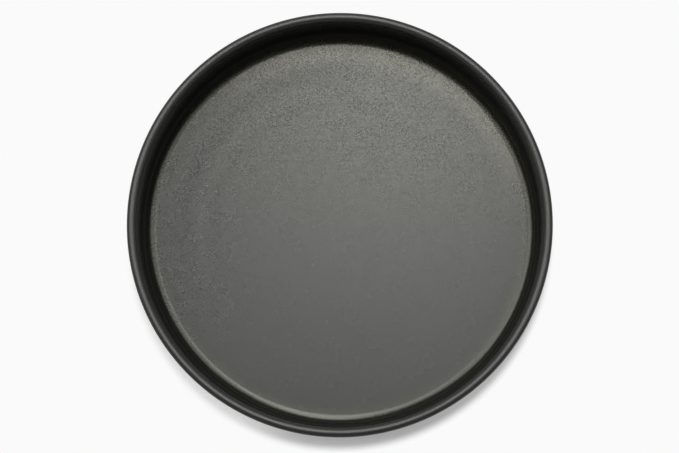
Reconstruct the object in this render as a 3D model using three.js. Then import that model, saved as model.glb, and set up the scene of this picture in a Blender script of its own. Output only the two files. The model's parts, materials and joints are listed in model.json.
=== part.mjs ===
// Round straight-sided baking pan: one aluminium sheet spun into a shell, with its rim
// curled outwards round a stiffening wire. Millimetres, +Z up, origin at the centre of the underside.
import * as THREE from "three";

// Driving dimensions.
const INSIDE_DIAMETER = 304.8; // across the inside of the straight wall, 12 in
const INSIDE_DEPTH = 50.8; // from the cooking floor up to the top of the rim, 2 in
const SHEET_THICKNESS = 1.6; // the same sheet makes floor, wall and curl
const COVE_RADIUS = 10; // inside radius where the floor turns up into the wall
const WIRE_DIAMETER = 3.2; // round wire that stiffens the rim
const WIRE_CLEARANCE = 0.3; // between the wire and the curl, all round the wire
const CURL_GAP = 0.4; // between the curl's cut edge and the outside of the wall

// Facets.
const ROUND_SEGMENTS = 96; // steps in one turn about the pan's axis
const ARC_STEP_DEG = 18; // largest turn of one step along an arc of the profile
const WIRE_SIDES = 12;

// Sizes that follow from the driving dimensions.
const wallInside = INSIDE_DIAMETER / 2;
const wallOutside = wallInside + SHEET_THICKNESS;
const wireRadius = WIRE_DIAMETER / 2;
const curlInside = wireRadius + WIRE_CLEARANCE;
const curlOutside = curlInside + SHEET_THICKNESS;
const rimTop = SHEET_THICKNESS + INSIDE_DEPTH;
const curlCentre = new THREE.Vector2(wallInside + curlOutside, rimTop - curlOutside);
const coveCentre = new THREE.Vector2(wallInside - COVE_RADIUS, SHEET_THICKNESS + COVE_RADIUS);

// Point of the profile on a circle, at an angle from the outward direction.
function pointOnCircle(centre, radius, deg) {
  const angle = THREE.MathUtils.degToRad(deg);
  return new THREE.Vector2(radius * Math.cos(angle), radius * Math.sin(angle)).add(centre);
}

// Points along an arc of the profile that passes through each of the angles in turn, ends included.
function arc(centre, radius, ...stopsDeg) {
  const points = [pointOnCircle(centre, radius, stopsDeg[0])];
  for (let k = 1; k < stopsDeg.length; k += 1) {
    const fromDeg = stopsDeg[k - 1];
    const toDeg = stopsDeg[k];
    const steps = Math.ceil(Math.abs(toDeg - fromDeg) / ARC_STEP_DEG);
    for (let i = 1; i <= steps; i += 1) {
      points.push(pointOnCircle(centre, radius, THREE.MathUtils.lerp(fromDeg, toDeg, i / steps)));
    }
  }
  return points;
}

// The curl leaves the wall at 180 degrees, goes over its top at 90 degrees and its widest point at 0,
// and comes back under until the outer corner of its cut edge is CURL_GAP away from the outside of the wall.
function curlEndDeg() {
  const reach = wallOutside + CURL_GAP - curlCentre.x;
  return -THREE.MathUtils.radToDeg(Math.acos(reach / curlOutside));
}

// Half section of the sheet, from the axis out along the underside, up the outside of the wall,
// round the hollow of the curl to its cut edge, back over the curl and down the inside to the axis.
function sheetSection() {
  const curlEnd = curlEndDeg();
  return [
    new THREE.Vector2(0, 0),
    ...arc(coveCentre, COVE_RADIUS + SHEET_THICKNESS, -90, 0),
    ...arc(curlCentre, curlInside, 180, 90, 0, curlEnd),
    ...arc(curlCentre, curlOutside, curlEnd, 0, 90, 180),
    ...arc(coveCentre, COVE_RADIUS, 0, -90),
    new THREE.Vector2(0, SHEET_THICKNESS),
  ];
}

// Shell of the pan, the section turned about the axis. The lathe turns about Y, so it is stood up on Z.
function panBody() {
  const anodised = new THREE.MeshStandardMaterial({ color: 0x42423f, roughness: 0.3, metalness: 0.9 });
  const mesh = new THREE.Mesh(new THREE.LatheGeometry(sheetSection(), ROUND_SEGMENTS), anodised);
  mesh.name = "pan_body";
  mesh.rotation.x = Math.PI / 2;
  return mesh;
}

// Ring of wire, butt welded, that the rim is curled round.
function rimWire() {
  const drawnAluminium = new THREE.MeshStandardMaterial({ color: 0xb9babb, roughness: 0.35, metalness: 1 });
  const ring = new THREE.TorusGeometry(curlCentre.x, wireRadius, WIRE_SIDES, ROUND_SEGMENTS);
  const mesh = new THREE.Mesh(ring, drawnAluminium);
  mesh.name = "rim_wire";
  mesh.position.z = curlCentre.y;
  return mesh;
}

const pan = new THREE.Group();
pan.name = "straight_sided_pan";
pan.add(panBody(), rimWire());

export default pan;
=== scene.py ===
"""Looks of a round straight-sided baking pan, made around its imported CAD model.

The file is laid out as an add-on. Sizes and colours are properties, each piece and the stage has an
operator, and a panel in the sidebar lists them. Run as a script, main() makes everything in order.

Lengths are metres, in the frame of the CAD model: +Z up, origin at the centre of the pan's underside.
As the camera sees the pan, near is -Y, far is +Y, left is -X and right is +X.
"""

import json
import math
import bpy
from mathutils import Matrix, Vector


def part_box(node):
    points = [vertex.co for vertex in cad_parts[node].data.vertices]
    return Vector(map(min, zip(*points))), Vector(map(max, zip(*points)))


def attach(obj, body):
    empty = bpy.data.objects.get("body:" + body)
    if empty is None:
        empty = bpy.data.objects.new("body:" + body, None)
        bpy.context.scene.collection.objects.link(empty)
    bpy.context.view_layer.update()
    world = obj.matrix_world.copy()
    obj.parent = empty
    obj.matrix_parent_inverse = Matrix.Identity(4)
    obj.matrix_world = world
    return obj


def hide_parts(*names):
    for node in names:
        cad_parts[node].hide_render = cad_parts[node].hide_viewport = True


bl_info = {
    "name": "Straight-Sided Baking Pan",
    "version": (1, 0, 0),
    "blender": (4, 5, 0),
    "location": "3D View > Sidebar > Pan",
    "description": "Makes a hard-anodised baking pan and its studio around the packed model",
    "category": "Object",
}

from typing import NamedTuple

import bpy
from mathutils import Matrix, Vector

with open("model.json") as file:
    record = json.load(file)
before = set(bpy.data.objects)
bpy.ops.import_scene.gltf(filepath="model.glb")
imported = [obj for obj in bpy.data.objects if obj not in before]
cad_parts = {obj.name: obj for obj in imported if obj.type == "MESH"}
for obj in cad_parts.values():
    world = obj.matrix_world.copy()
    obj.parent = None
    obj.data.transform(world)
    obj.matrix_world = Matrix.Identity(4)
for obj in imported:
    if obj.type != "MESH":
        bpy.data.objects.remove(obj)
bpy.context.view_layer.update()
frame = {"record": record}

MM = 0.001
FAR = Vector((0.0, 1.0, 0.0))
UP = Vector((0.0, 0.0, 1.0))
WHITE = (1.0, 1.0, 1.0)

# Sizes read from the frame. The curl stays inside its solid's box both ways.
_, SHEET_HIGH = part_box("pan_body")
WIRE_LOW, WIRE_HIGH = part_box("rim_wire")
FLOOR_MOUNT = next(mount for mount in frame["record"]["mounts"] if mount["name"] == "cooking_floor")
SHEET_THICKNESS = Vector(FLOOR_MOUNT["pos_m"]).z
WIRE_RADIUS = (WIRE_HIGH.z - WIRE_LOW.z) / 2
RING_RADIUS = WIRE_HIGH.x - WIRE_RADIUS
RING_HEIGHT = (WIRE_HIGH.z + WIRE_LOW.z) / 2
CURL_RADIUS = min(SHEET_HIGH.x - RING_RADIUS, SHEET_HIGH.z - RING_HEIGHT)


class PanSizes(bpy.types.PropertyGroup):
    """Sizes of the sheet and of the wire in its rim."""

    sheet_thickness: bpy.props.FloatProperty(
        name="Sheet thickness",
        description="Thickness of the sheet in the floor, wall and curl",
        default=SHEET_THICKNESS,
        unit="LENGTH",
    )
    cove_radius: bpy.props.FloatProperty(
        name="Cove radius",
        description="Inside radius where the floor turns up into the wall",
        default=10.0 * MM,
        unit="LENGTH",
    )
    ring_radius: bpy.props.FloatProperty(
        name="Ring radius",
        description="From the pan's axis to the middle of the rim's curl and wire",
        default=RING_RADIUS,
        unit="LENGTH",
    )
    ring_height: bpy.props.FloatProperty(
        name="Ring height",
        description="From the underside up to the middle of the rim's curl and wire",
        default=RING_HEIGHT,
        unit="LENGTH",
    )
    curl_radius: bpy.props.FloatProperty(
        name="Curl radius",
        description="Outside radius of the rolled rim",
        default=CURL_RADIUS,
        unit="LENGTH",
    )
    curl_gap: bpy.props.FloatProperty(
        name="Curl gap",
        description="Between the curl's edge and the outside of the wall",
        default=0.4 * MM,
        unit="LENGTH",
    )
    wire_radius: bpy.props.FloatProperty(
        name="Wire radius",
        description="Radius of the wire that the rim is curled round",
        default=WIRE_RADIUS,
        unit="LENGTH",
    )


class PanFinish(bpy.types.PropertyGroup):
    """Colours and surface of the anodised sheet and the drawn wire."""

    floor_colour: bpy.props.FloatVectorProperty(
        name="Floor colour",
        description="Colour of the hard-anodised layer on the near side of the floor",
        subtype="COLOR",
        default=(0.0560, 0.0562, 0.0528),
    )
    far_colour: bpy.props.FloatVectorProperty(
        name="Far colour",
        description="Warmer colour of the layer on the far side of the floor and round its edge",
        subtype="COLOR",
        default=(0.0524, 0.0529, 0.0454),
    )
    rim_colour: bpy.props.FloatVectorProperty(
        name="Rim colour",
        description="Colour of the layer on the wall and the rolled rim",
        subtype="COLOR",
        default=(0.0680, 0.0680, 0.0655),
    )
    heat_colour: bpy.props.FloatVectorProperty(
        name="Heat colour",
        description="Warmest colour of the layer, at the far foot of the wall",
        subtype="COLOR",
        default=(0.0800, 0.0780, 0.0635),
    )
    floor_metallic: bpy.props.FloatProperty(
        name="Floor metallic",
        description="How far the layer on the flat floor reflects as metal does",
        subtype="FACTOR",
        default=0.48,
    )
    cove_metallic: bpy.props.FloatProperty(
        name="Cove metallic",
        description="How far the layer in the cove reflects as metal does",
        subtype="FACTOR",
        default=0.85,
    )
    rim_metallic: bpy.props.FloatProperty(
        name="Rim metallic",
        description="How far the layer on the wall and the rim reflects as metal does",
        subtype="FACTOR",
        default=0.65,
    )
    floor_roughness: bpy.props.FloatProperty(
        name="Floor roughness",
        description="Satin of the anodised floor",
        subtype="FACTOR",
        default=0.27,
    )
    cove_roughness: bpy.props.FloatProperty(
        name="Cove roughness",
        description="Satin of the steep part of the cove and of the wall",
        subtype="FACTOR",
        default=0.24,
    )
    rim_roughness: bpy.props.FloatProperty(
        name="Rim roughness",
        description="Satin of the anodised rim",
        subtype="FACTOR",
        default=0.40,
    )
    grain_size: bpy.props.FloatProperty(
        name="Grain size",
        description="Width of the fine grain of the floor",
        default=0.95 * MM,
        unit="LENGTH",
    )
    spin_pitch: bpy.props.FloatProperty(
        name="Spin pitch",
        description="Width of the fine rings that spinning leaves in the sheet",
        default=1.5 * MM,
        unit="LENGTH",
    )
    wire_colour: bpy.props.FloatVectorProperty(
        name="Wire colour",
        description="Colour of the bare drawn wire",
        subtype="COLOR",
        default=(0.48, 0.48, 0.485),
    )


class PanStage(bpy.types.PropertyGroup):
    """Camera, lamps, backdrop and floor of the studio."""

    camera_distance: bpy.props.FloatProperty(
        name="Camera distance",
        description="From the camera to the point near the middle of the rim that it aims at",
        default=1.519,
        unit="LENGTH",
    )
    camera_tilt: bpy.props.FloatProperty(
        name="Camera tilt",
        description="How far the camera leans away from straight overhead",
        default=math.radians(5.15),
        subtype="ANGLE",
    )
    camera_bearing: bpy.props.FloatProperty(
        name="Camera bearing",
        description="Which way the camera leans, from the near side (-Y) towards the right (+X)",
        default=math.radians(14.5),
        subtype="ANGLE",
    )
    camera_lens: bpy.props.FloatProperty(
        name="Lens",
        description="Focal length in millimetres, on a frame 36 mm wide",
        default=107.68,
        unit="CAMERA",
    )
    lamp_level: bpy.props.FloatProperty(
        name="Lamp level",
        description="Brightness of all the softboxes together",
        default=1.0,
    )
    room_level: bpy.props.FloatProperty(
        name="Room level",
        description="Brightness of the room above the backdrop",
        default=0.045,
    )
    backdrop_level: bpy.props.FloatProperty(
        name="Backdrop level",
        description="Brightness of the pale backdrop round the horizon",
        default=1.3,
    )
    floor_albedo: bpy.props.FloatProperty(
        name="Floor albedo",
        description="Share of the light that the studio floor throws back",
        subtype="FACTOR",
        default=0.75,
    )


class Field:
    """The value of a socket in a node tree. Arithmetic on it adds Math nodes to the tree."""

    def __init__(self, nodes, socket):
        self.nodes = nodes
        self.socket = socket

    def math(self, operation, *values):
        """What a Math node makes of these values."""
        return self.nodes.add("ShaderNodeMath", {"operation": operation}, dict(enumerate(values)))

    def beside(self, output):
        """Another output of the same node."""
        return Field(self.nodes, self.socket.node.outputs[output])

    def __add__(self, other):
        return self.math("ADD", self, other)

    def __radd__(self, other):
        return self.math("ADD", other, self)

    def __sub__(self, other):
        return self.math("SUBTRACT", self, other)

    def __rsub__(self, other):
        return self.math("SUBTRACT", other, self)

    def __mul__(self, other):
        return self.math("MULTIPLY", self, other)

    def __rmul__(self, other):
        return self.math("MULTIPLY", other, self)

    def __truediv__(self, other):
        return self.math("DIVIDE", self, other)

    def __floordiv__(self, other):
        return self.math("FLOOR", self / other)

    def __mod__(self, other):
        return self.math("MODULO", self, other)

    def least(self, other):
        return self.math("MINIMUM", self, other)

    def most(self, other):
        return self.math("MAXIMUM", self, other)

    def sine(self):
        return self.math("SINE", self)

    def cosine(self):
        return self.math("COSINE", self)

    def root(self):
        return self.math("SQRT", self)


# Places of the sockets that share a name with others of their node: Mix, Add Shader and Mix Shader.
MIX_FACTOR = 0
MIX_FIRST = 6
MIX_SECOND = 7
MIX_COLOUR = 2
ADD_FIRST = 0
ADD_SECOND = 1
FADE_FACTOR = 0
FADE_FIRST = 1
FADE_SECOND = 2

# Noise lies between 0 and 1, about this value.
NOISE_MIDDLE = 0.5


class Nodes:
    """A node tree, of a material, the world or geometry, that add() puts nodes into."""

    def __init__(self, tree):
        self.tree = tree

    def add(self, kind, settings=None, sockets=None, output=0):
        """Adds a node with these settings and socket values or links, and gives one of its outputs."""
        node = self.tree.nodes.new(kind)
        for name, value in (settings or {}).items():
            setattr(node, name, value)
        for key, value in (sockets or {}).items():
            if isinstance(value, Field):
                self.tree.links.new(value.socket, node.inputs[key])
            else:
                node.inputs[key].default_value = value
        if len(node.outputs) == 0:
            return None
        return Field(self, node.outputs[output])

    def place(self):
        """Where a point of the surface is, as one vector and as its X, Y and Z."""
        whole = self.add("ShaderNodeTexCoord", {}, {}, "Object")
        x = self.add("ShaderNodeSeparateXYZ", {}, {"Vector": whole}, "X")
        return whole, x, x.beside("Y"), x.beside("Z")

    def noise(self, place, size, detail):
        """Cloudy noise with features of this size."""
        return self.add("ShaderNodeTexNoise", {"noise_dimensions": "3D"}, {
            "Vector": place,
            "Scale": 1 / size,
            "Detail": detail,
        }, "Fac")

    def lines(self, along, size, detail):
        """Noise that changes only along one value, with lines of this size."""
        return self.add("ShaderNodeTexNoise", {"noise_dimensions": "1D"}, {
            "W": along,
            "Scale": 1 / size,
            "Detail": detail,
        }, "Fac")

    def step(self, value, start, end):
        """Smooth step from 0 at start to 1 at end."""
        return self.add("ShaderNodeMapRange", {"interpolation_type": "SMOOTHSTEP"}, {
            "Value": value,
            "From Min": start,
            "From Max": end,
        })

    def blend(self, factor, first, second):
        """Colour that goes from the first to the second as factor goes from 0 to 1."""
        return self.add("ShaderNodeMix", {"data_type": "RGBA"}, {
            MIX_FACTOR: factor,
            MIX_FIRST: first,
            MIX_SECOND: second,
        }, MIX_COLOUR)

    def bump(self, relief):
        """Normal of a surface with this relief, which is in millimetres."""
        return self.add("ShaderNodeBump", {}, {"Height": relief, "Distance": MM})


def distance(across, along):
    """How far off the middle a point is that lies this far across and along."""
    return (across * across + along * along).root()


def geometry_tree(name, inputs):
    """A new geometry node tree with these named inputs, each of a socket type, and one output."""
    tree = bpy.data.node_groups.new(name, "GeometryNodeTree")
    for title, kind in inputs.items():
        tree.interface.new_socket(title, in_out="INPUT", socket_type=kind)
    tree.interface.new_socket("Piece", in_out="OUTPUT", socket_type="NodeSocketGeometry")
    nodes = Nodes(tree)
    start = tree.nodes.new("NodeGroupInput")
    fields = {title: Field(nodes, start.outputs[title]) for title in inputs}
    return nodes, fields


def end_tree(nodes, geometry, finish):
    """Smooths, realizes and finishes the geometry, and ends the tree with it."""
    smooth = nodes.add("GeometryNodeSetShadeSmooth", {}, {"Geometry": geometry})
    real = nodes.add("GeometryNodeRealizeInstances", {}, {"Geometry": smooth})
    done = nodes.add("GeometryNodeSetMaterial", {}, {"Geometry": real, "Material": finish})
    nodes.add("NodeGroupOutput", {}, {"Piece": done})
    return nodes.tree


# Steps in one turn about the pan's axis.
TURN_STEPS = 288

# Steps of the sheet's section, from the axis out to the curl's edge and round that edge.
FLOOR_STEPS = 24
COVE_STEPS = 18
WALL_STEPS = 8
CURL_STEPS = 48
EDGE_STEPS = 6

# Points of the sheet that are closer than this, on its seam and at the axis, become one.
MERGE_DISTANCE = 1e-6


def sheet_tree():
    """Turns the section of the curled sheet about the axis.

    The middle of the sheet runs out along the floor, round the cove, up the wall and round the curl.
    The section goes along its inside, round the curl's rounded edge and back along its outside.
    """
    nodes, size = geometry_tree("Curled Pan Sheet", {
        "Sheet Thickness": "NodeSocketFloat",
        "Floor Radius": "NodeSocketFloat",
        "Cove Radius": "NodeSocketFloat",
        "Wall Height": "NodeSocketFloat",
        "Curl Radius": "NodeSocketFloat",
        "Curl Turn": "NodeSocketFloat",
        "Finish": "NodeSocketMaterial",
    })
    one_side = FLOOR_STEPS + COVE_STEPS + WALL_STEPS + CURL_STEPS
    whole = 2 * one_side + EDGE_STEPS
    grid = nodes.add("GeometryNodeMeshGrid", {}, {
        "Vertices X": whole + 1,
        "Vertices Y": TURN_STEPS + 1,
    }, "Mesh")
    index = nodes.add("GeometryNodeInputIndex")
    step = index // (TURN_STEPS + 1)
    turn = (index % (TURN_STEPS + 1)) * (2 * math.pi / TURN_STEPS)
    out = step.least(one_side).least(whole - step)

    def share(field, start, count):
        """How far field is through this many steps, from 0 to 1."""
        return ((field - start) / count).most(0.0).least(1.0)

    half = size["Sheet Thickness"] / 2
    cove = size["Cove Radius"] + half
    curl = size["Curl Radius"] - half
    floor_run = share(out, 0, FLOOR_STEPS) * size["Floor Radius"]
    cove_turn = share(out, FLOOR_STEPS, COVE_STEPS) * (math.pi / 2)
    wall_run = share(out, FLOOR_STEPS + COVE_STEPS, WALL_STEPS) * size["Wall Height"]
    curl_turn = share(out, FLOOR_STEPS + COVE_STEPS + WALL_STEPS, CURL_STEPS) * size["Curl Turn"]
    edge_turn = share(step, one_side, EDGE_STEPS) * math.pi
    lean = edge_turn - cove_turn + curl_turn
    cove_reach = cove * cove_turn.sine()
    cove_rise = cove * (1 - cove_turn.cosine())
    radius = floor_run + cove_reach + curl * (1 - curl_turn.cosine()) + half * lean.sine()
    height = half + cove_rise + wall_run + curl * curl_turn.sine() + half * lean.cosine()
    place = nodes.add("ShaderNodeCombineXYZ", {}, {
        "X": radius * turn.cosine(),
        "Y": radius * turn.sine(),
        "Z": height,
    })
    turned = nodes.add("GeometryNodeSetPosition", {}, {"Geometry": grid, "Position": place})
    closed = nodes.add("GeometryNodeMergeByDistance", {}, {
        "Geometry": turned,
        "Distance": MERGE_DISTANCE,
    })
    return end_tree(nodes, closed, size["Finish"])


# Steps round the wire's section.
WIRE_STEPS = 32


def wire_tree():
    """Sweeps the wire's round section along its ring."""
    nodes, size = geometry_tree("Rim Wire", {
        "Ring Radius": "NodeSocketFloat",
        "Ring Height": "NodeSocketFloat",
        "Wire Radius": "NodeSocketFloat",
        "Finish": "NodeSocketMaterial",
    })
    ring = nodes.add("GeometryNodeCurvePrimitiveCircle", {}, {
        "Resolution": TURN_STEPS,
        "Radius": size["Ring Radius"],
    })
    section = nodes.add("GeometryNodeCurvePrimitiveCircle", {}, {
        "Resolution": WIRE_STEPS,
        "Radius": size["Wire Radius"],
    })
    swept = nodes.add("GeometryNodeCurveToMesh", {}, {"Curve": ring, "Profile Curve": section})
    rise = nodes.add("ShaderNodeCombineXYZ", {}, {"Z": size["Ring Height"]})
    raised = nodes.add("GeometryNodeTransform", {}, {"Geometry": swept, "Translation": rise})
    return end_tree(nodes, raised, size["Finish"])


def new_object(name, data):
    """A new object of this data, in the scene."""
    made = bpy.data.objects.new(name, data)
    bpy.context.scene.collection.objects.link(made)
    return made


def grown_piece(name, tree, values):
    """A piece with a plain mesh that the tree makes from these values of its named inputs."""
    piece = new_object(name, bpy.data.meshes.new(name))
    modifier = piece.modifiers.new(tree.name, "NODES")
    modifier.node_group = tree
    for socket in tree.interface.items_tree:
        if socket.in_out == "INPUT":
            modifier[socket.identifier] = values[socket.name]
    evaluated = piece.evaluated_get(bpy.context.evaluated_depsgraph_get())
    mesh = bpy.data.meshes.new_from_object(evaluated)
    piece.modifiers.remove(modifier)
    piece.data = mesh
    return piece


def empty_nodes(owner):
    """The nodes of a material or world, with none in them."""
    owner.use_nodes = True
    owner.node_tree.nodes.clear()
    return Nodes(owner.node_tree)


def new_material(name):
    """A new material and its empty nodes."""
    material = bpy.data.materials.new(name)
    return material, empty_nodes(material)


def shade_of(colour, level):
    """This colour, made darker or lighter, with its alpha."""
    return (*(channel * level for channel in colour), 1.0)


# The tone runs from 0 to 1 between these levels of the anodised layer's colour.
DARKEST = 0.25
LIGHTEST = 1.75
MIDDLE_TONE = 0.5

# Widths of the layer's clouds, patches and broad spun rings, and the detail of their noise. The patches
# come in between the last two values of theirs.
CLOUD_SIZE = 17.0 * MM
PATCH_SIZE = 75.0 * MM
RING_SIZE = 34.0 * MM
SOFT_DETAIL = 1.0
FINE_DETAIL = 2.0
PATCH_LOW = 0.35
PATCH_HIGH = 0.65

# How far each pattern moves the tone.
GRAIN_TONE = 3.0
CLOUD_TONE = 0.05
RING_TONE = 0.10
SPIN_TONE = 0.06

# Heights of the grain and the spinning lines, and how far the clouds and the grain move the roughness.
GRAIN_HEIGHT = 0.030 * MM
SPIN_HEIGHT = 0.002 * MM
CLOUD_SATIN = 0.06
GRAIN_SATIN = 0.05

# The grain is mostly dark pits, because its noise is cut off this far above the middle.
GRAIN_TOP = 0.10

# The grain's relief is the sheet's own, but how much its pits darken the colour is painted shade, where
# the lamps
# pick the grain out: weakest on the near side of the floor, growing along Y between the first two
# places.
# The left side has a depth of its own, which comes in along X between the next two, and along Y from the
# near side to the fifth.
NEAR_SIDE = -110.0 * MM
FAR_SIDE = 130.0 * MM
LEFT_START = -40.0 * MM
LEFT_END = -110.0 * MM
LEFT_FADE = -50.0 * MM
LEFT_DEPTH = 0.70
LEAST_DEPTH = 0.03

# The patches change the depth of the grain, from the first value up by the second.
PATCH_LEAST = 0.9
PATCH_GAIN = 0.2

# The floor's colour gives way to the wall's between these heights.
TINT_LOW = 4.6 * MM
TINT_HIGH = 7.0 * MM

# The floor's satin gives way to the cove's between the first two heights, and the wall's to the rim's
# between the other two.
COVE_LOW = 2.6 * MM
COVE_HIGH = 4.4 * MM
RIM_LOW = 43.5 * MM
RIM_HIGH = 46.5 * MM

# The flat floor reflects less as metal does than the cove. One gives way to the other over this ring.
FLAT_END = 141.0 * MM
CURVE_START = 145.0 * MM

# The tone is darker on the outer edge of the rim, as painted shade, and comes in over this ring.
PAINTED_SHADE_START = 156.8 * MM
PAINTED_SHADE_END = 158.9 * MM
PAINTED_EDGE_SHADE = 0.45

# The far side's warmer colour runs all round the foot of the wall, over this ring.
WARM_START = 130.0 * MM
WARM_END = 142.0 * MM

# A pattern on one side of the floor faces a bearing, in degrees from +X, and comes in between these
# cosines of the angle to it. Near the axis the radius that these need is kept above the last value.
FACING_START = 0.35
FACING_END = 0.85
LEAST_RADIUS = 1.0 * MM

# The warmest colour comes in over this ring of the floor.
HEAT_BEARING = 70.0
HEAT_START = 124.0 * MM
HEAT_END = 139.0 * MM


class Lap(NamedTuple):
    """A darker ring of the floor.

    Middle is how far from the axis it lies, reach is how far it spreads to each side of that, and tone
    is how much it darkens there.
    """

    middle: float
    reach: float
    tone: float


LAP_BEARING = 140.0
LAPS = (
    Lap(middle=122.0 * MM, reach=14.0 * MM, tone=0.12),
    Lap(middle=98.0 * MM, reach=10.0 * MM, tone=0.06),
)

OXIDE_IOR = 1.5


def anodised_finish(finish):
    """Hard-anodised sheet: a satin layer with a fine grain, soft clouds and the rings of spinning."""
    material, nodes = new_material("hard_anodised_sheet")
    place, x, y, z = nodes.place()
    radius = distance(x, y)
    off_axis = radius.most(LEAST_RADIUS)

    def facing(bearing):
        """From 0 to 1 as a place turns towards this bearing from the axis."""
        turn = math.radians(bearing)
        cosine = (x * math.cos(turn) + y * math.sin(turn)) / off_axis
        return nodes.step(cosine, FACING_START, FACING_END)

    def darkening(lap):
        """How much this lap lowers the tone."""
        outer = nodes.step(radius, lap.middle + lap.reach, lap.middle)
        inner = nodes.step(radius, lap.middle - lap.reach, lap.middle)
        return outer * inner * lap.tone

    wall_share = nodes.step(z, TINT_LOW, TINT_HIGH)
    cove_share = nodes.step(z, COVE_LOW, COVE_HIGH)
    rim_share = nodes.step(z, RIM_LOW, RIM_HIGH)
    curve_share = nodes.step(radius, FLAT_END, CURVE_START)

    patches = nodes.step(nodes.noise(place, PATCH_SIZE, SOFT_DETAIL), PATCH_LOW, PATCH_HIGH)
    clouds = nodes.noise(place, CLOUD_SIZE, FINE_DETAIL) - NOISE_MIDDLE
    rings = nodes.lines(radius, RING_SIZE, SOFT_DETAIL) - NOISE_MIDDLE
    spin = nodes.lines(radius + z, finish.spin_pitch, FINE_DETAIL) - NOISE_MIDDLE

    # The grain darkens the colour more on the far side and on the left. This is painted shade; the
    # relief is real.
    far = nodes.step(y, NEAR_SIDE, FAR_SIDE)
    left = nodes.step(x, LEFT_START, LEFT_END) * nodes.step(y, NEAR_SIDE, LEFT_FADE) * LEFT_DEPTH
    deep = ((far + far * far) / 2).most(left)
    depth = LEAST_DEPTH + deep * (PATCH_LEAST + patches * PATCH_GAIN)
    pits = (nodes.noise(place, finish.grain_size, FINE_DETAIL) - NOISE_MIDDLE).least(GRAIN_TOP)
    grain = pits * depth * (1 - wall_share)

    laps = sum(darkening(lap) for lap in LAPS) * facing(LAP_BEARING)
    spun = rings * patches * RING_TONE + spin * SPIN_TONE - laps
    # Painted shade on the outer edge of the rim.
    edge = nodes.step(radius, PAINTED_SHADE_START, PAINTED_SHADE_END) * PAINTED_EDGE_SHADE
    tone = MIDDLE_TONE + grain * GRAIN_TONE + clouds * CLOUD_TONE + spun - edge
    near_tint, far_tint, heat_tint, rim_tint = (
        nodes.blend(tone, shade_of(colour, DARKEST), shade_of(colour, LIGHTEST))
        for colour in (finish.floor_colour, finish.far_colour, finish.heat_colour, finish.rim_colour)
    )
    warm = far.most(nodes.step(radius, WARM_START, WARM_END))
    heat = nodes.step(radius, HEAT_START, HEAT_END) * facing(HEAT_BEARING)
    floor_tint = nodes.blend(heat, nodes.blend(warm, near_tint, far_tint), heat_tint)

    satin = finish.floor_roughness + cove_share * (finish.cove_roughness - finish.floor_roughness)
    satin = satin + rim_share * (finish.rim_roughness - finish.cove_roughness)
    metal = finish.floor_metallic + curve_share * (finish.cove_metallic - finish.floor_metallic)
    metal = metal + wall_share * (finish.rim_metallic - finish.cove_metallic)
    shader = nodes.add("ShaderNodeBsdfPrincipled", {}, {
        "Base Color": nodes.blend(wall_share, floor_tint, rim_tint),
        "Metallic": metal,
        "Roughness": satin + clouds * CLOUD_SATIN + grain * GRAIN_SATIN,
        "IOR": OXIDE_IOR,
        "Normal": nodes.bump(grain * (GRAIN_HEIGHT / MM) + spin * (SPIN_HEIGHT / MM)),
    })
    nodes.add("ShaderNodeOutputMaterial", {}, {"Surface": shader})
    return material


# Fine lines that the drawing die leaves along the wire.
DRAW_PITCH = 0.18 * MM
DRAW_HEIGHT = 0.004 * MM

# Levels of the wire's colour that its lines and clouds run between, and its satin, which clouds move.
WIRE_DARKEST = 0.8
WIRE_LIGHTEST = 1.15
WIRE_METALLIC = 1.0
WIRE_ROUGHNESS = 0.34
WIRE_SATIN = 0.1


def wire_finish(finish):
    """Bare drawn wire with lines along it."""
    material, nodes = new_material("drawn_wire")
    place, x, y, z = nodes.place()
    section = nodes.add("ShaderNodeCombineXYZ", {}, {"X": distance(x, y), "Z": z})
    lines = nodes.noise(section, DRAW_PITCH, FINE_DETAIL)
    clouds = nodes.noise(place, CLOUD_SIZE, FINE_DETAIL)
    colour = nodes.blend(
        (lines + clouds) / 2,
        shade_of(finish.wire_colour, WIRE_DARKEST),
        shade_of(finish.wire_colour, WIRE_LIGHTEST),
    )
    shader = nodes.add("ShaderNodeBsdfPrincipled", {}, {
        "Base Color": colour,
        "Metallic": WIRE_METALLIC,
        "Roughness": WIRE_ROUGHNESS + (clouds - NOISE_MIDDLE) * WIRE_SATIN,
        "Normal": nodes.bump(lines * (DRAW_HEIGHT / MM)),
    })
    nodes.add("ShaderNodeOutputMaterial", {}, {"Surface": shader})
    return material


class SpinSheet(bpy.types.Operator):
    """Make the pan's sheet: floor, cove, wall and curled rim"""

    bl_idname = "baking_pan.spin_sheet"
    bl_label = "Spin Sheet"

    def execute(self, context):
        size = context.scene.pan_sizes
        wall = size.ring_radius - size.curl_radius
        # The curl stops where its rounded edge is the gap away from the outside of the wall.
        curl_middle = size.curl_radius - size.sheet_thickness / 2
        edge_reach = (size.sheet_thickness + size.curl_gap) / curl_middle
        piece = grown_piece("pan_sheet", sheet_tree(), {
            "Sheet Thickness": size.sheet_thickness,
            "Floor Radius": wall - size.cove_radius,
            "Cove Radius": size.cove_radius,
            "Wall Height": size.ring_height - size.cove_radius - size.sheet_thickness,
            "Curl Radius": size.curl_radius,
            "Curl Turn": 2 * math.pi - math.acos(1 - edge_reach),
            "Finish": anodised_finish(context.scene.pan_finish),
        })
        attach(piece, "root")
        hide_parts("pan_body")
        return {"FINISHED"}


class DrawWire(bpy.types.Operator):
    """Make the ring of wire inside the rim"""

    bl_idname = "baking_pan.draw_wire"
    bl_label = "Draw Wire"

    def execute(self, context):
        size = context.scene.pan_sizes
        piece = grown_piece("rim_wire_ring", wire_tree(), {
            "Ring Radius": size.ring_radius,
            "Ring Height": size.ring_height,
            "Wire Radius": size.wire_radius,
            "Finish": wire_finish(context.scene.pan_finish),
        })
        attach(piece, "root")
        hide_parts("rim_wire")
        return {"FINISHED"}


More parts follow.
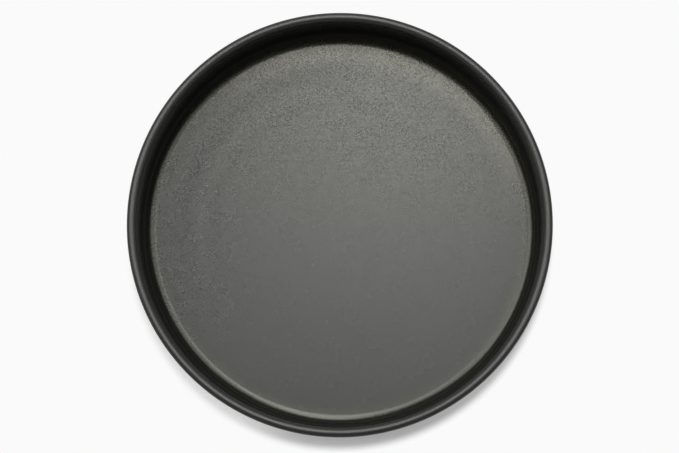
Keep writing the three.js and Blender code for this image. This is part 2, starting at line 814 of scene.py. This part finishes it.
# The studio floor keeps the pan's shadow inside a ring, and is plain white to the eye outside it. The
# ring's middle lies off the axis, the way that the shadow falls.
SHADOW_MIDDLE = Vector((-1.5, -6.0)) * MM
SHADOW_REACH = 159.0 * MM
WHITE_START = 167.0 * MM
WHITE_LEVEL = 0.955

# The shadow is lifted a little everywhere, and more on the left, where that comes in along X.
SHADOW_LIFT = 0.225
SIDE_START = -20.0 * MM
SIDE_END = -85.0 * MM
SIDE_LIFT = 0.20

# Half of the studio floor's width, and which way its corners lie.
FLOOR_REACH = 30.0
FLOOR_CORNERS = ((-1, -1), (1, -1), (1, 1), (-1, 1))


def floor_finish(stage):
    """Pale floor that keeps the pan's shadow and is white to the eye further out."""
    material, nodes = new_material("pale_floor")
    _, x, y, _ = nodes.place()
    from_shadow = distance(x - SHADOW_MIDDLE.x, y - SHADOW_MIDDLE.y)
    outside = nodes.step(from_shadow, SHADOW_REACH, WHITE_START)
    camera = nodes.add("ShaderNodeLightPath", {}, {}, "Is Camera Ray")
    glossy = camera.beside("Is Glossy Ray")
    clear = camera.beside("Is Transmission Ray")
    seen = (camera + glossy + clear).least(1.0)
    side = nodes.step(x, SIDE_START, SIDE_END) * SIDE_LIFT
    matt = nodes.add("ShaderNodeBsdfDiffuse", {}, {"Color": shade_of(WHITE, stage.floor_albedo)})
    lift = nodes.add("ShaderNodeEmission", {}, {"Strength": seen * (SHADOW_LIFT + side)})
    shadowed = nodes.add("ShaderNodeAddShader", {}, {ADD_FIRST: matt, ADD_SECOND: lift})
    white = nodes.add("ShaderNodeEmission", {}, {"Strength": WHITE_LEVEL})
    surface = nodes.add("ShaderNodeMixShader", {}, {
        FADE_FACTOR: outside * seen,
        FADE_FIRST: shadowed,
        FADE_SECOND: white,
    })
    nodes.add("ShaderNodeOutputMaterial", {}, {"Surface": surface})
    return material


def add_floor(stage):
    """Lays the studio floor that the pan stands on."""
    corners = [(x * FLOOR_REACH, y * FLOOR_REACH, 0.0) for x, y in FLOOR_CORNERS]
    mesh = bpy.data.meshes.new("studio_floor")
    mesh.from_pydata(corners, [], [tuple(range(len(corners)))])
    mesh.materials.append(floor_finish(stage))
    new_object("studio_floor", mesh)


class Softbox(NamedTuple):
    """A soft lamp as the pan sees it, with angles in degrees.

    It is tilted from straight up towards an azimuth from +X, takes up so much height and width, and is
    turned about its middle. Its level is how bright its face is.
    """

    tilt: float
    azimuth: float
    high: float
    wide: float
    turn: float
    level: float


SOFTBOXES = {
    "left_softbox": Softbox(tilt=30.5, azimuth=152, high=32.5, wide=35.5, turn=5, level=3.2),
    "far_softbox": Softbox(tilt=26, azimuth=88, high=43.5, wide=10, turn=1, level=7.8),
    "right_softbox": Softbox(tilt=27.5, azimuth=27, high=35, wide=45, turn=-2, level=2.0),
    "top_softbox": Softbox(tilt=0.5, azimuth=250, high=4, wide=26, turn=7, level=2.6),
}
LAMP_DISTANCE = 5.0


def span(angle):
    """Width at the lamps' distance that this angle takes up."""
    return 2 * LAMP_DISTANCE * math.tan(math.radians(angle) / 2)


def set_place(thing, right, up, back, place):
    """Puts a lamp or the camera at a place, with these as its own X, Y and Z."""
    turned = Matrix((right, up, back)).transposed().to_4x4()
    thing.matrix_world = Matrix.Translation(place) @ turned


def add_softbox(name, box, level):
    """Hangs a softbox that faces the pan. Its power goes with its area, so its face keeps its level."""
    tilt = math.radians(box.tilt)
    azimuth = math.radians(box.azimuth)
    turn = math.radians(box.turn)
    bearing = Vector((math.cos(azimuth), math.sin(azimuth), 0.0))
    towards = bearing * math.sin(tilt) + UP * math.cos(tilt)
    down = bearing * math.cos(tilt) - UP * math.sin(tilt)
    side = towards.cross(down)
    height = down * math.cos(turn) + side * math.sin(turn)
    width = side * math.cos(turn) - down * math.sin(turn)
    lamp = bpy.data.lights.new(name, "AREA")
    lamp.shape = "RECTANGLE"
    lamp.size = span(box.high)
    lamp.size_y = span(box.wide)
    lamp.energy = level * box.level * math.pi * lamp.size * lamp.size_y
    set_place(new_object(name, lamp), height, width, towards, towards * LAMP_DISTANCE)


# Heights over the horizon, as sines, between which the pale backdrop gives way to the dim room. It
# stands higher on the far side and on the left, and lower on the other sides, by the last two values.
BACKDROP_FULL = 0.175
BACKDROP_TOP = 0.195
BACKDROP_FAR_LEAN = 0.050
BACKDROP_LEFT_LEAN = 0.030


def add_room(stage):
    """Makes a dim room with a pale backdrop round the horizon."""
    world = bpy.data.worlds.new("studio_room")
    nodes = empty_nodes(world)
    way = nodes.add("ShaderNodeTexCoord", {}, {}, "Generated")
    rise = nodes.add("ShaderNodeSeparateXYZ", {}, {"Vector": way}, "Z")
    lean = rise.beside("Y") * BACKDROP_FAR_LEAN - rise.beside("X") * BACKDROP_LEFT_LEAN
    backdrop = nodes.step(rise - lean, BACKDROP_TOP, BACKDROP_FULL)
    level = stage.room_level + backdrop * (stage.backdrop_level - stage.room_level)
    glow = nodes.add("ShaderNodeBackground", {}, {"Strength": level})
    nodes.add("ShaderNodeOutputWorld", {}, {"Surface": glow})
    bpy.context.scene.world = world


# The camera aims this far off the middle of the rim.
AIM_OFFSET = Vector((0.14, -2.40, 0.0)) * MM


def add_camera(stage):
    """Sets the camera over the pan, with the far side at the top of its picture."""
    bearing = stage.camera_bearing
    tilt = stage.camera_tilt
    way = Vector((math.sin(bearing), -math.cos(bearing), 0.0))
    back = way * math.sin(tilt) + UP * math.cos(tilt)
    right = FAR.cross(back).normalized()
    aim = UP * RING_HEIGHT + AIM_OFFSET
    lens = bpy.data.cameras.new("camera")
    lens.lens = stage.camera_lens
    camera = new_object("camera", lens)
    set_place(camera, right, back.cross(right), back, aim + back * stage.camera_distance)
    bpy.context.scene.camera = camera


class SetStage(bpy.types.Operator):
    """Lay the floor and set the lamps, the room and the camera"""

    bl_idname = "baking_pan.set_stage"
    bl_label = "Set Stage"

    def execute(self, context):
        stage = context.scene.pan_stage
        context.scene.view_settings.view_transform = "Standard"
        add_floor(stage)
        for name, box in SOFTBOXES.items():
            add_softbox(name, box, stage.lamp_level)
        add_room(stage)
        add_camera(stage)
        return {"FINISHED"}


class PanPanel(bpy.types.Panel):
    """Sizes, finish and stage of the pan, with a button for each piece and for the stage"""

    bl_idname = "VIEW3D_PT_baking_pan"
    bl_label = "Baking Pan"
    bl_space_type = "VIEW_3D"
    bl_region_type = "UI"
    bl_category = "Pan"

    def draw(self, context):
        scene = context.scene
        for group in (scene.pan_sizes, scene.pan_finish, scene.pan_stage):
            box = self.layout.box()
            for name in group.__annotations__:
                box.prop(group, name)
        for operator in (SpinSheet, DrawWire, SetStage):
            self.layout.operator(operator.bl_idname)


CLASSES = (PanSizes, PanFinish, PanStage, SpinSheet, DrawWire, SetStage, PanPanel)


def register():
    """Registers the classes and gives the scene its groups of properties."""
    for made in CLASSES:
        bpy.utils.register_class(made)
    bpy.types.Scene.pan_sizes = bpy.props.PointerProperty(type=PanSizes)
    bpy.types.Scene.pan_finish = bpy.props.PointerProperty(type=PanFinish)
    bpy.types.Scene.pan_stage = bpy.props.PointerProperty(type=PanStage)


def unregister():
    """Undoes what register() does."""
    del bpy.types.Scene.pan_stage
    del bpy.types.Scene.pan_finish
    del bpy.types.Scene.pan_sizes
    for made in reversed(CLASSES):
        bpy.utils.unregister_class(made)


def main():
    """Makes the pieces and the stage in order."""
    register()
    bpy.ops.baking_pan.spin_sheet()
    bpy.ops.baking_pan.draw_wire()
    bpy.ops.baking_pan.set_stage()


if __name__ == "__main__":
    main()
